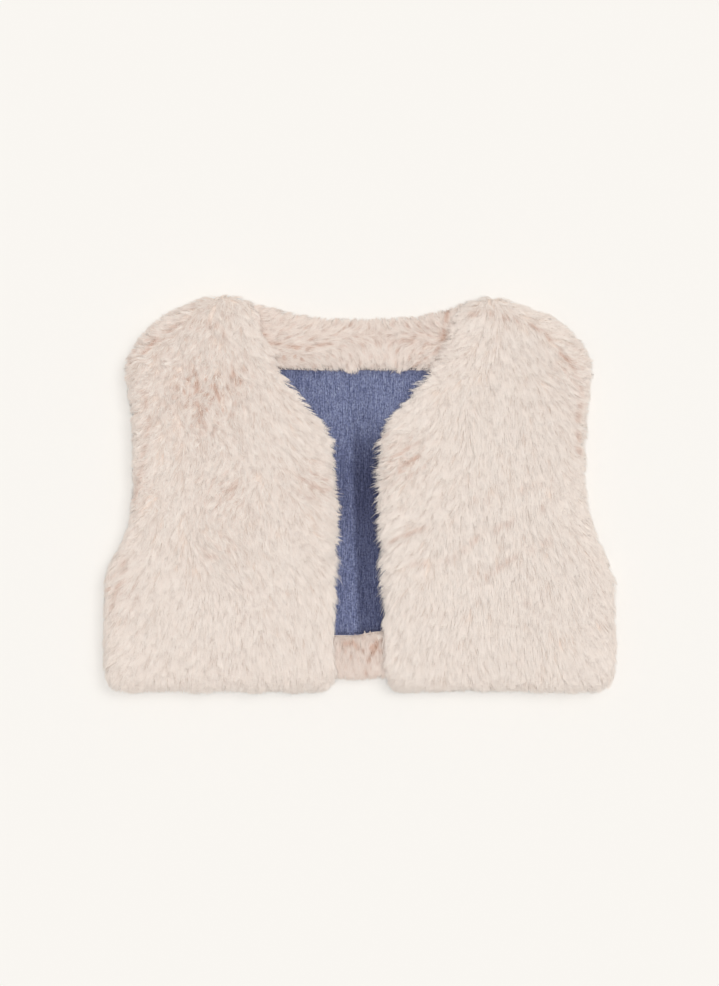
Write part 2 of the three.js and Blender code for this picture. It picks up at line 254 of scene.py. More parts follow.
def underfur_material():
    material, tree, shader = node_material("fur_underlayer", 0.9, sheen=0.2, specular=0.1)
    streaks = noise_node(tree, scaled_place(tree, (900, 160, 500)), 1.0, 3.0, 0.6)
    colour = ramp_node(tree, streaks, [
        (0.3, (0.80, 0.66, 0.57)),
        (0.7, (0.92, 0.82, 0.74)),
    ])
    tree.links.new(colour, shader.inputs["Base Color"])
    bump_node(tree, streaks, 0.5, 0.8 * MM, shader)
    return material


# Slubs and threads of the warp with the weft across them, and paler flecks and clouds
def denim_weave(tree):
    slubs = noise_node(tree, scaled_place(tree, (1700, 75, 75)), 1.0, 3.0, 0.7)
    threads = noise_node(tree, scaled_place(tree, (2600, 220, 220)), 1.0, 2.0, 0.6)
    crossing = noise_node(tree, scaled_place(tree, (200, 1900, 200)), 1.0, 2.0, 0.6)
    fleck = noise_node(tree, scaled_place(tree, (950, 600, 600)), 1.0, 3.0, 0.75)
    cloud = noise_node(tree, scaled_place(tree, (24, 16, 24)), 1.0, 2.0, 0.5)
    warp = ramp_node(tree, slubs, [(0.34, (0.035, 0.045, 0.12)), (0.68, (0.225, 0.25, 0.40))])
    weft = ramp_node(tree, crossing, [(0.35, (0.075, 0.085, 0.17)), (0.68, (0.21, 0.24, 0.37))])
    cloth = mix_node(tree, 0.33, warp, weft)
    pale = ramp_node(tree, threads, [(0.52, (0.0, 0.0, 0.0)), (0.72, (1.0, 1.0, 1.0))])
    cloth = mix_node(tree, pale, cloth, (0.25, 0.275, 0.395))
    spots = ramp_node(tree, fleck, [(0.36, (0.42, 0.42, 0.48)), (0.64, (1.45, 1.45, 1.4))])
    cloth = mix_node(tree, 0.8, cloth, spots, "MULTIPLY")
    broad = ramp_node(tree, cloud, [(0.35, (0.85, 0.85, 0.88)), (0.65, (1.1, 1.1, 1.08))])
    return mix_node(tree, 1.0, cloth, broad, "MULTIPLY"), slubs


# A value's place between two limits
def range_node(tree, value, low, high, interpolation="LINEAR"):
    node = add_node(tree, "ShaderNodeMapRange", interpolation_type=interpolation)
    node.inputs["From Min"].default_value = low
    node.inputs["From Max"].default_value = high
    tree.links.new(value, node.inputs["Value"])
    return node.outputs["Result"]


def denim_material():
    material, tree, shader = node_material("denim", 0.85, sheen=0.15, specular=0.2)
    cloth, slubs = denim_weave(tree)
    place = add_node(tree, "ShaderNodeTexCoord").outputs["Object"]
    parts = add_node(tree, "ShaderNodeSeparateXYZ")
    tree.links.new(place, parts.inputs[0])
    # Painted shade along the lining's height, from the fronts over its middle
    height = range_node(tree, parts.outputs["Y"], HEIGHT_SHADE_LOW, HEIGHT_SHADE_HIGH)
    cloth = mix_node(tree, 1.0, cloth, ramp_node(tree, height, HEIGHT_SHADE), "MULTIPLY")
    # Painted shadow of the wearer's left front, beside the fold and below its top
    lean = add_node(tree, "ShaderNodeMath", operation="MULTIPLY_ADD")
    lean.inputs[1].default_value = -FOLD_LEAN
    tree.links.new(parts.outputs["Y"], lean.inputs[0])
    tree.links.new(parts.outputs["X"], lean.inputs[2])
    middle = FOLD_X - FOLD_LEAN * FOLD_TOP[1]
    beside = range_node(tree, lean.outputs[0], middle + FOLD_PAINTED_SHADOW_BAND[0],
                        middle + FOLD_PAINTED_SHADOW_BAND[1], "SMOOTHSTEP")
    below = range_node(tree, parts.outputs["Y"], *FOLD_TOP, "SMOOTHSTEP")
    both = add_node(tree, "ShaderNodeMath", operation="MULTIPLY")
    tree.links.new(beside, both.inputs[0])
    tree.links.new(below, both.inputs[1])
    cloth = mix_node(tree, both.outputs[0], cloth, FOLD_PAINTED_SHADOW, "MULTIPLY")
    tree.links.new(cloth, shader.inputs["Base Color"])
    bump_node(tree, slubs, 0.35, 0.3 * MM, shader)
    return material


# Points this near to each other are joined, and points this near to the rim are on it
WELD = 0.01 * MM
ON_RIM = 0.05 * MM


# Mesh of a CAD node with its points joined, and which of them are on its rim, where its upper
# and lower sides meet
def joined_mesh(node):
    bm = bmesh.new()
    bm.from_mesh(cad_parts[node].data)
    bmesh.ops.remove_doubles(bm, verts=bm.verts, dist=WELD)
    bm.normal_update()
    rim = set()
    for edge in bm.edges:
        ups = [face.normal.z > 0 for face in edge.link_faces]
        if len(ups) == 2 and ups[0] != ups[1]:
            rim.update(v.index for v in edge.verts)
    return bm, rim


def rim_tree(bm, rim):
    places = []
    for edge in bm.edges:
        a, b = edge.verts
        if a.index in rim and b.index in rim:
            places += [a.co.lerp(b.co, share) for share in (0.0, 0.25, 0.5, 0.75)]
    tree = KDTree(len(places))
    for i, place in enumerate(places):
        tree.insert((place.x, place.y, 0), i)
    tree.balance()
    return tree


# The body under the pile: the CAD solid drawn in from its edges and lowered, with its rim
def fur_body(name, node, level, material, inset):
    bm, rim = joined_mesh(node)
    tree = rim_tree(bm, rim)
    for v in bm.verts:
        place = Vector((v.co.x, v.co.y, 0))
        near, _, away = tree.find(place)
        inward = place - near
        if v.index in rim or away < ON_RIM:
            inward = Vector((-v.normal.x, -v.normal.y, 0))
        if inward.length > 0:
            inward.normalize()
        share = max(0.0, 1 - away / BODY_EDGE_REACH)
        v.co += inward * inset(v.co.x, v.co.y) * share
        v.co.z = level(v.co.z, v.normal.z)
    mesh = bpy.data.meshes.new(name)
    bm.to_mesh(mesh)
    bm.free()
    obj = new_object(name, mesh)
    subdivision = obj.modifiers.new("finer", "SUBSURF")
    subdivision.levels = 1
    subdivision.render_levels = 1
    graph = bpy.context.evaluated_depsgraph_get()
    fine = bpy.data.meshes.new_from_object(obj.evaluated_get(graph))
    obj.modifiers.clear()
    obj.data = fine
    bpy.data.meshes.remove(mesh)
    fine.name = name
    fine.shade_smooth()
    fine.materials.clear()
    fine.materials.append(material)
    return obj, tree


def front_level(z, normal_z):
    if z < FRONT_RIM or normal_z < 0:
        return z
    return FRONT_RIM + (z - FRONT_RIM) * FRONT_BODY_SHARE


def back_level(z, normal_z):
    if normal_z > BACK_TOP_NORMAL:
        return z
    return z + BACK_BODY_LIFT * max(0.0, 1 - z / BACK_RIM)


def facing_level(z, normal_z):
    return FACING_FLOOR + (z - FACING_FLOOR) * FACING_BODY_SHARE


def back_inset(x, y):
    return BACK_SIDE_INSET


# Past the opening's edges wisps hang freely, so the body is drawn in further there, but less by
# the neckline and low on the left front. So it is at the underarms' corners, while the shoulders'
# peaks are fuller, most on the right.
OPENING_INSET = 2.8 * MM
OPENING_INSET_X = 24 * MM
OPENING_INSET_LOW = -122 * MM
NECKLINE_FULLNESS = 0.35
NECKLINE_BAND = (40 * MM, 55 * MM)
LEFT_LOW_BAND = (-60 * MM, 40 * MM)
UNDERARM_INSET = 2 * MM
UNDERARM_X = (158 * MM, 168 * MM)
UNDERARM_LOW = (-64 * MM, -56 * MM)
UNDERARM_HIGH = (-18 * MM, -30 * MM)
RIGHT_PEAK_FULLNESS = 0.45
LEFT_PEAK_FULLNESS = 0.1
PEAK_BAND = (120 * MM, 142 * MM)


def front_inset(x, y):
    edge = OPENING_INSET_X + NECKLINE_SLOPE * max(y - NECKLINE_Y, 0)
    if abs(x) < edge and OPENING_INSET_LOW < y < OPENING_Y[1]:
        inset = OPENING_INSET
        if x >= 0:
            inset = inset * smooth_step(*LEFT_LOW_BAND, y)
        return BODY_SIDE_INSET + inset * (1 - NECKLINE_FULLNESS * smooth_step(*NECKLINE_BAND, y))
    peak = RIGHT_PEAK_FULLNESS if x < 0 else LEFT_PEAK_FULLNESS
    peak = peak * smooth_step(*PEAK_BAND, y)
    corner = smooth_step(*UNDERARM_X, abs(x)) * smooth_step(*UNDERARM_LOW, y)
    corner = corner * smooth_step(*UNDERARM_HIGH, y)
    return BODY_SIDE_INSET * (1 - peak) + UNDERARM_INSET * corner


def lining_drop(x):
    return LINING_DROP * smooth_step(*LINING_DROP_X, x)


# The facings' outer edges are the garment's own, and their inner ones lie on the lining
NECK_OUTER_Y = 122 * MM
HEM_OUTER_Y = -126 * MM
FACING_EDGE_BAND = 4 * MM


def facing_inset(x, y):
    outer = max(smooth_step(NECK_OUTER_Y - FACING_EDGE_BAND, NECK_OUTER_Y, y),
                smooth_step(HEM_OUTER_Y + FACING_EDGE_BAND, HEM_OUTER_Y, y))
    inner = NECK_INNER_INSET if y > 0 else HEM_INNER_INSET + lining_drop(x)
    return inner + (FACING_OUTER_INSET - inner) * outer


# Fur

# How the nap lies, as strokes given over the photograph: place, and run to the right and down, in
# its pixels
STROKES_OF_RIGHT_FRONT = [
    (150, 350, -0.5, 1.0), (135, 400, -0.6, 1.0), (140, 450, -0.5, 1.0), (125, 520, -0.6, 1.0),
    (115, 580, -0.7, 1.0), (112, 640, -0.5, 1.0), (160, 600, -0.4, 1.0), (160, 540, -0.35, 1.0),
    (180, 342, -0.6, 0.8), (215, 342, 0.3, 1.0), (198, 388, -0.5, 1.0), (220, 425, 0.6, 1.0),
    (190, 470, -0.25, 1.0), (228, 492, -0.8, 1.0), (225, 550, 0.7, 1.0), (255, 340, 0.5, 1.0),
    (250, 400, 0.3, 1.0), (275, 390, 0.6, 1.0), (300, 430, 0.8, 0.8), (325, 480, 0.9, 0.6),
    (330, 535, 0.8, 0.6), (325, 590, 0.3, 1.0), (300, 640, 0.1, 1.0), (240, 640, 0.0, 1.0),
    (270, 500, 0.1, 1.0), (180, 660, -0.2, 1.0),
]
STROKES_OF_LEFT_FRONT = [
    (455, 335, -1.0, 0.4), (435, 365, -1.0, 0.5), (410, 410, -1.0, 0.6), (390, 450, -1.0, 0.5),
    (385, 500, -0.8, 0.8), (385, 560, -0.7, 0.9), (390, 620, -0.6, 1.0), (395, 670, -0.4, 1.0),
    (430, 470, -0.5, 1.0), (425, 400, -0.6, 1.0), (480, 345, -0.3, 1.0), (500, 400, 0.0, 1.0),
    (520, 345, 0.4, 0.9), (550, 365, 0.7, 0.8), (565, 400, 0.6, 1.0), (560, 450, 0.3, 1.0),
    (500, 480, 0.0, 1.0), (480, 560, -0.05, 1.0), (560, 540, 0.3, 1.0), (590, 580, 0.4, 1.0),
    (595, 640, 0.3, 1.0), (500, 640, 0.05, 1.0), (430, 640, -0.2, 1.0),
]
STROKES_OF_NECK_FACING = [
    (290, 335, 0.6, -0.6), (330, 330, 0.1, -1.0), (370, 330, 0.0, -1.0), (410, 330, -0.1, -1.0),
    (435, 325, -0.3, -1.0), (285, 352, 1.0, 0.5), (310, 352, 1.0, 0.3), (335, 356, 0.6, 0.8),
    (352, 358, 0.0, 1.0), (375, 356, 0.3, 1.0), (395, 358, -0.1, 1.0), (415, 355, -0.7, 0.8),
    (432, 350, -0.6, 1.0),
]
STROKES_OF_HEM_FACING = [
    (343, 640, -0.3, 1.0), (345, 662, 0.1, 1.0), (360, 648, 0.25, 1.0), (380, 645, -0.8, 1.0),
    (372, 670, -0.1, 1.0),
]
STROKE_REACH = 27 * METRES_PER_PIXEL
STROKE_FLOOR = 0.02

# Dips in the pile, where it parts or folds over itself: depth share, then points as above
CREASES = [
    (0.7, [(148, 350), (165, 333), (183, 325)]),
    (0.9, [(192, 328), (205, 324), (218, 328), (224, 336)]),
    (0.7, [(133, 360), (140, 354), (148, 352)]),
    (0.5, [(140, 385), (146, 395), (150, 425), (145, 455), (138, 500)]),
    (1.0, [(197, 378), (199, 388), (195, 397)]),
    (0.9, [(196, 402), (202, 410), (200, 422)]),
    (0.9, [(212, 384), (217, 392), (221, 401)]),
    (0.8, [(232, 378), (237, 383), (234, 372)]),
    (0.6, [(205, 427), (213, 431), (218, 424)]),
    (0.6, [(241, 484), (231, 490), (221, 497)]),
    (0.5, [(207, 556), (222, 558), (236, 546)]),
    (0.7, [(260, 320), (264, 333), (272, 345)]),
    (0.5, [(126, 560), (120, 585), (113, 608)]),
    (0.5, [(300, 477), (312, 483), (320, 490)]),
    (0.7, [(470, 316), (487, 314), (503, 319), (522, 323)]),
    (0.7, [(530, 326), (545, 335), (556, 352)]),
    (0.8, [(556, 352), (566, 360), (572, 369)]),
    (0.6, [(575, 375), (580, 391), (576, 420), (577, 455)]),
    (0.7, [(395, 457), (405, 452), (413, 446)]),
    (0.7, [(399, 468), (409, 462), (417, 458)]),
    (0.6, [(393, 541), (412, 532), (427, 527)]),
    (0.5, [(470, 541), (485, 535), (500, 527), (513, 522)]),
    (0.5, [(410, 564), (440, 563), (458, 557), (475, 541)]),
    (0.5, [(485, 578), (506, 562), (520, 556), (538, 548), (556, 537)]),
    (0.5, [(474, 500), (488, 502)]),
    (0.5, [(518, 491), (545, 480)]),
    (0.5, [(541, 508), (552, 513)]),
    (0.5, [(524, 601), (529, 604)]),
    (0.9, [(448, 312), (444, 335), (438, 350), (430, 362)]),
    (1.0, [(377, 643), (375, 650), (371, 656), (370, 664)]),
    (1.0, [(372, 645), (373, 652), (370, 657)]),
    (0.8, [(344, 645), (352, 643), (358, 648)]),
    (0.6, [(370, 661), (366, 672)]),
    (0.6, [(276, 343), (300, 348), (330, 344)]),
    (0.5, [(362, 345), (392, 343), (415, 340)]),
]
CREASE_HALF_WIDTH = 1.5 * MM
CREASE_GAPS = (-0.9, 0.5)

# Small pits in the pile that show its roots: place, reach and strength. Their darkening is partly
# painted shade
PIT_SPOTS = [
    (205, 395, 34, 1.0), (236, 378, 16, 0.7), (150, 352, 26, 0.5), (205, 325, 24, 0.5),
    (225, 492, 26, 0.5), (312, 483, 18, 0.6), (118, 588, 24, 0.5), (404, 457, 22, 0.8),
    (566, 362, 18, 0.5), (300, 346, 26, 0.7), (350, 342, 26, 0.6), (412, 342, 26, 0.8),
    (366, 650, 18, 1.0), (130, 500, 18, 0.4), (222, 552, 22, 0.4),
]
PIT_RANGE = (0.45, 1.1)

# How far creases and pits lower the strands and darken them; the darkening is painted shade in
# the dips, with the roots' deeper tone
CREASE_DIP = 0.45
CREASE_PAINTED_SHADE = 0.95

# Broad places where the locks are ruffled and lie across each other; elsewhere they are calm
RUFFLED = [
    (190, 380, 78, 1.0), (140, 480, 50, 0.7), (228, 495, 48, 0.6), (305, 480, 34, 0.7),
    (118, 590, 30, 0.4), (405, 458, 40, 0.6), (450, 345, 44, 0.4), (565, 365, 36, 0.5),
]
RUFFLE_TURN = math.radians(46)

crease_breaks = make_waves(SEED + 2, 9 * MM)
pit_noise = make_waves(SEED + 3, 5.5 * MM, 14)
turn_broad = make_waves(SEED, 60 * MM)
turn_fine = make_waves(SEED + 1, 18 * MM)
turn_ruffle = make_waves(SEED + 4, 11 * MM, 14)
BROAD_TURN = math.radians(7)
FINE_TURN = math.radians(7)


def on_plan(points):
    points = np.asarray(points, float)
    x = (points[:, 0] - PHOTO_MIDDLE_X) * METRES_PER_PIXEL
    y = (PHOTO_MIDDLE_Y - points[:, 1]) * METRES_PER_PIXEL
    return np.stack([x, y], 1)


def turned(direction, angle):
    c, s = np.cos(angle), np.sin(angle)
    x = direction[:, 0] * c - direction[:, 1] * s
    y = direction[:, 0] * s + direction[:, 1] * c
    return np.stack([x, y], 1)


# The strongest of some round spots at each point
def spot_level(xy, spots):
    level = np.zeros(len(xy))
    for x, y, reach, strength in spots:
        centre = on_plan([(x, y)])[0]
        away = ((xy - centre) ** 2).sum(1) / (reach * METRES_PER_PIXEL) ** 2
        level = np.maximum(level, strength * np.exp(-away))
    return level


def ruffle(xy):
    return spot_level(xy, RUFFLED)


# The nap between strokes: a mean of them weighed by nearness, with a little unrest
def stroked(strokes):
    strokes = np.array(strokes)
    places = on_plan(strokes[:, :2])
    runs = unit(strokes[:, 2:] * [1, -1])

    def nap(xy):
        away = ((xy[:, None] - places[None]) ** 2).sum(-1)
        weight = np.exp(-away / STROKE_REACH ** 2)
        run = weight @ runs + STROKE_FLOOR * np.array([0, -1])
        turn = BROAD_TURN * turn_broad(xy)
        turn = turn + FINE_TURN * turn_fine(xy) + RUFFLE_TURN * turn_ruffle(xy) * ruffle(xy)
        return turned(unit(run), turn)
    return nap


def crease_depth(xy):
    depth = np.zeros(len(xy))
    for strength, points in CREASES:
        line = on_plan(points)
        near = np.full(len(xy), np.inf)
        for a, b in zip(line[:-1], line[1:]):
            along = np.clip(((xy - a) @ (b - a)) / ((b - a) @ (b - a)), 0, 1)
            foot = a + along[:, None] * (b - a)
            near = np.minimum(near, ((xy - foot) ** 2).sum(1))
        depth = np.maximum(depth, strength * np.exp(-near / CREASE_HALF_WIDTH ** 2))
    depth = depth * smooth_step(*CREASE_GAPS, crease_breaks(xy))
    pits = smooth_step(*PIT_RANGE, pit_noise(xy))
    return np.maximum(depth, spot_level(xy, PIT_SPOTS) * pits)


# On a front, the pile also turns outward in a band along the side, and more by the shoulder
SHOULDER_Y = 30 * MM
UNDERARM_Y = -30 * MM
BAND_FAR = 20 * MM
BAND_NEAR = 2 * MM
BAND_PULL = 0.25
SHOULDER_PULL = 0.6
OUTER_EDGE = (0.1, 0.6)

# Along the opening it turns towards the lining, less so low down
OPENING_PULL = 0.75
OPENING_FAR = 10 * MM
OPENING_NEAR = 1 * MM
OPENING_LOW = (-110 * MM, -50 * MM)
OPENING_X = 70 * MM
INNER_EDGE = (0.2, 0.7)


def front_nap(side, strokes):
    inner = stroked(strokes)

    def nap(xy, outward, away):
        down = inner(xy)
        is_outer = smooth_step(*OUTER_EDGE, side * outward[:, 0])
        is_high = smooth_step(UNDERARM_Y, SHOULDER_Y, xy[:, 1])
        pull = is_outer * (BAND_PULL + SHOULDER_PULL * is_high)
        pull = pull * smooth_step(BAND_FAR, BAND_NEAR, away)
        start = np.arctan2(down[:, 1], down[:, 0])
        sweep = np.arctan2(outward[:, 1], outward[:, 0]) - start
        sweep = side * np.mod(side * sweep + np.pi / 2, 2 * np.pi) - side * np.pi / 2
        down = turned(down, sweep * pull)
        is_inner = smooth_step(*INNER_EDGE, -side * outward[:, 0])
        is_inner = is_inner * (np.abs(xy[:, 0]) < OPENING_X)
        across = OPENING_PULL * is_inner * smooth_step(OPENING_FAR, OPENING_NEAR, away)
        across = across * smooth_step(*OPENING_LOW, xy[:, 1])
        return unit(down * (1 - across)[:, None] + outward * across[:, None])
    return nap


# Along the hem facing's upper edge it stands up over the lining
HEM_FUZZ = (3.6 * MM, 2.2 * MM)


def facing_nap(strokes):
    inner = stroked(strokes)

    def nap(xy, outward, away):
        up = smooth_step(*HEM_FUZZ, away) * ((outward[:, 1] > 0.5) & (xy[:, 1] < 0))
        return unit(inner(xy) * (1 - up)[:, None] + outward * up[:, None])
    return nap


# On the back it fans out towards the hem, and turns outward along every edge
BACK_FAN = 1.5
BACK_PULL = 0.7


def back_nap(xy, outward, away):
    down = np.stack([BACK_FAN * xy[:, 0], -np.ones(len(xy))], 1)
    down = turned(unit(down), BROAD_TURN * turn_broad(xy) + FINE_TURN * turn_fine(xy))
    pull = BACK_PULL * smooth_step(BAND_FAR, BAND_NEAR, away)
    return unit(down * (1 - pull)[:, None] + outward * pull[:, None])


# Random places on the faces of a body that keep() accepts, with the faces' normals
def scatter(obj, count, keep, rng):
    mesh = obj.data
    mesh.calc_loop_triangles()
    corners = np.empty(len(mesh.loop_triangles) * 3, np.int32)
    mesh.loop_triangles.foreach_get("vertices", corners)
    points = np.empty(len(mesh.vertices) * 3, np.float32)
    mesh.vertices.foreach_get("co", points)
    triangles = points.reshape(-1, 3)[corners.reshape(-1, 3)].astype(float)
    cross = np.cross(triangles[:, 1] - triangles[:, 0], triangles[:, 2] - triangles[:, 0])
    normal = unit(cross)
    weight = np.linalg.norm(cross, axis=1) * keep(triangles.mean(1), normal)
    chosen = rng.choice(len(triangles), count, p=weight / weight.sum())
    a, b = rng.random((2, count, 1))
    flip = a + b > 1
    a, b = np.where(flip, 1 - a, a), np.where(flip, 1 - b, b)
    t = triangles[chosen]
    return t[:, 0] + a * (t[:, 1] - t[:, 0]) + b * (t[:, 2] - t[:, 0]), normal[chosen]


# Guides walk over the body from their roots, following the nap. Past an edge they cling to the
# body only in part, and droop. Loose ones stand straight out past it.
STEPS = 5
DROOP = 0.2
BACK_DROOP = 1.1
CLING = 0.25
LOOSE_UP = 2
KEPT_UP = 0.4
SHORTEST = 0.2


def walk_guides(obj, rim, roots, normals, nap, length, turn, loose, inertia, droop):
    surface = BVHTree.FromObject(obj, bpy.context.evaluated_depsgraph_get())
    count = len(roots)
    places = np.empty((count, STEPS, 3))
    ups = np.empty((count, STEPS, 3))
    places[:, 0], ups[:, 0] = roots, normals
    direction = None
    stride = (length / (STEPS - 1))[:, None]
    for step in range(1, STEPS):
        at, up = places[:, step - 1], ups[:, step - 1]
        outward = np.empty((count, 2))
        away = np.empty(count)
        for i, p in enumerate(at):
            near, _, away[i] = rim.find((p[0], p[1], 0))
            outward[i] = near.x - p[0], near.y - p[1]
        flow = turned(nap(at[:, :2], unit(outward), away), turn)
        goal = np.column_stack([flow, np.full(count, -droop)])
        if direction is not None:
            goal = goal + inertia[:, None] * direction
        direction = unit(goal - (goal * up).sum(1, keepdims=True) * up)
        ahead = at + direction * stride
        for i, p in enumerate(ahead):
            near, normal, _, _ = surface.find_nearest(p)
            cling = CLING * (1 - loose[i])
            places[i, step] = cling * np.array(near) + (1 - cling) * p
            ups[i, step] = normal.x, normal.y, normal.z + LOOSE_UP * loose[i]
        ups[:, step] = unit(KEPT_UP * up + (1 - KEPT_UP) * unit(ups[:, step]))
    return places, ups


# Shortens each guide to where it stands out past the body by its limit
def trim_guides(obj, places, ups, limit):
    surface = BVHTree.FromObject(obj, bpy.context.evaluated_depsgraph_get())
    count = len(places)
    keep = np.ones(count)
    for i in range(count):
        past = 0.0
        for step in range(1, STEPS):
            p = places[i, step]
            near = surface.find_nearest(p)[0]
            last, past = past, math.hypot(p[0] - near.x, p[1] - near.y)
            if past > limit[i]:
                part = (limit[i] - last) / max(past - last, 1e-9)
                keep[i] = (step - 1 + max(part, 0)) / (STEPS - 1)
                break
    shares = np.linspace(0, 1, STEPS)[None, :] * np.maximum(keep, SHORTEST)[:, None]
    return along_guide(places, shares), along_guide(ups, shares), keep


# Values at shares of the way along each guide
def along_guide(values, share):
    place = np.clip(share, 0, 1) * (STEPS - 1)
    low = np.minimum(place.astype(int), STEPS - 2)
    rest = (place - low)[..., None]
    index = np.arange(len(values))[:, None]
    return values[index, low] * (1 - rest) + values[index, low + 1] * rest


# Guides differ in length. Ruffled ones are shorter and turn more easily.
GUIDE_LENGTHS = (0.75, 1.2)
RUFFLED_SHORTENING = 0.35
INERTIA = 0.8
RUFFLED_INERTIA_LOSS = 0.5

# How far the pile may stand past its body, where it ends evenly and where it hangs freely
EVEN_FRINGE = 1.6 * MM
FREE_FRINGE = 9.5 * MM
LOCK_ENDS = (0.1, 1.3)
GUIDE_ENDS = (0.8, 1.15)

# Guides draw together into locks, more where they hang freely
GUIDES_IN_LOCK = 8
LOCK_PULL = 0.2
FREE_PULL = 0.35
LOCK_CURVE = 1.5


def even_fringe(tips):
    return np.full(len(tips), EVEN_FRINGE)


# The guides of a pile, with how ruffled each is, which guide leads its lock, how freely it hangs
# and what share of its length is left
def grow_guides(obj, rim, nap, keep, count, length, band, unrest, droop, fringe, rng):
    roots, normals = scatter(obj, count, keep, rng)
    lengths = length * rng.uniform(*GUIDE_LENGTHS, count)
    if band is not None:
        lengths = lengths * band(roots, rim)
    ruffled = ruffle(roots[:, :2])
    lengths = lengths * (1 - RUFFLED_SHORTENING * ruffled)
    turn = rng.normal(0, 1, count) * unrest * (1 + ruffled)
    loose = smooth_step(EVEN_FRINGE, FREE_FRINGE, fringe(roots))
    places, ups = walk_guides(obj, rim, roots, normals, nap, lengths, turn, loose,
                              INERTIA - RUFFLED_INERTIA_LOSS * ruffled, droop)

    # Each guide follows the nearest leader. Where locks hang freely, they end unevenly.
    leaders = rng.choice(count, count // GUIDES_IN_LOCK, replace=False)
    tree = KDTree(len(leaders))
    for i, leader in enumerate(leaders):
        tree.insert(roots[leader], i)
    tree.balance()
    lead = np.array([leaders[tree.find(root)[1]] for root in roots])
    limit = fringe(places[:, -1])
    free = smooth_step(EVEN_FRINGE, FREE_FRINGE, limit)
    ends = 0.5 * rng.uniform(*LOCK_ENDS, count)[lead] + 0.5 * rng.uniform(*LOCK_ENDS, count)
    limit = limit * (1 + free * (ends - 1)) * rng.uniform(*GUIDE_ENDS, count)
    places, ups, left = trim_guides(obj, places, ups, limit)
    share = np.linspace(0, 1, STEPS)[None, :, None]
    gather = (LOCK_PULL + (FREE_PULL - LOCK_PULL) * free)[:, None, None]
    places = places + (places[lead] - places) * gather * share ** LOCK_CURVE
    return places, ups, ruffled, lead, free, left


# A mesh of ribbons, with two points at each station of a spine but one at its tip. Its map runs
# along a ribbon in V and holds the tone in U.
MAP_WIDTH = 0.003


def ribbon_mesh(name, spine, flat, half, shade, tone, shares, material):
    count = len(spine)
    last = len(shares) - 1
    each = 2 * last + 1
    pairs = np.stack([spine - flat * half[..., None], spine + flat * half[..., None]], 2)
    points = pairs.reshape(count, -1, 3)[:, :each]
    shades = np.repeat(shade, 2, axis=1)[:, :each]
    corners = []
    for k in range(last - 1):
        a = 2 * k
        corners += [a, a + 1, a + 3, a, a + 3, a + 2]
    corners += [each - 3, each - 2, each - 1]
    loops = (np.arange(count)[:, None] * each + np.array(corners)[None, :]).reshape(-1)
    edge_u = np.tile([-MAP_WIDTH / 2, MAP_WIDTH / 2], last + 1)[:each]
    corner_u = np.repeat(tone, 2, axis=1)[:, :each] + edge_u[None, :]
    corner_v = np.tile(np.repeat(shares, 2)[:each], (count, 1))
    corner_uv = np.stack([corner_u, corner_v], -1).reshape(-1, 2)

    mesh = bpy.data.meshes.new(name)
    mesh.vertices.add(count * each)
    mesh.vertices.foreach_set("co", points.reshape(-1).astype(np.float32))
    mesh.loops.add(len(loops))
    mesh.loops.foreach_set("vertex_index", loops.astype(np.int32))
    faces = len(loops) // 3
    mesh.polygons.add(faces)
    mesh.polygons.foreach_set("loop_start", np.arange(faces, dtype=np.int32) * 3)
    mesh.polygons.foreach_set("use_smooth", np.ones(faces, bool))
    uv = mesh.uv_layers.new(name="OFBake")
    uv.data.foreach_set("uv", corner_uv[loops].reshape(-1).astype(np.float32))
    mesh.update(calc_edges=True)
    mesh.normals_split_custom_set_from_vertices(shades.reshape(-1, 3))
    mesh.materials.append(material)
    return mesh


# Stations along guard hairs and the underlayer's strands
GUARD_SHARES = np.array([0.0, 0.36, 0.7, 1.0])
UNDER_SHARES = np.array([0.0, 0.5, 1.0])

# How the locks differ. Their grain is greater where the pile is ruffled.
RUFFLED_GRAIN = 2.3
MOST_CLUMPING_GRAIN = 1.2
FREE_CLUMP = 0.65
CLUMP_CURVE = 1.3
LOCK_HEIGHT = 0.1
LOCK_BEND = 1.2 * MM
GUIDE_BEND = 0.6 * MM
CALM_LENGTHS = (0.3, 1)

# How the strands of a lock lie and differ
SPREAD = 1.7 * MM
REACHES = (0.58, 0.8)
FLYAWAYS = 0.1
FLYAWAY_REACH = 0.2
STATION_STEP = 0.08
STRAND_BEND = 0.5 * MM
STRAND_WAVE = 0.35 * MM
TALLEST = 1.05
RISE_CURVE = 1.8
ROOT_DEPTH = 0.4 * MM
SIDE_LIFT = 0.85
FLOOR_CLEARANCE = 0.15 * MM
WIDTHS = (0.7, 1.25)
TAPER = (0.9, 0.7)
ROLL = 0.22

# Their normals are mostly the body's, turned to the sky, as for light that goes through a pile
SKYWARD = 1.5
FACE_SHARE = 0.1

# How locks and strands differ in tone, and how much darker ruffled pile is
LOCK_TONE = 0.07
STRAND_TONE = 0.07
RUFFLED_TONE = 0.08


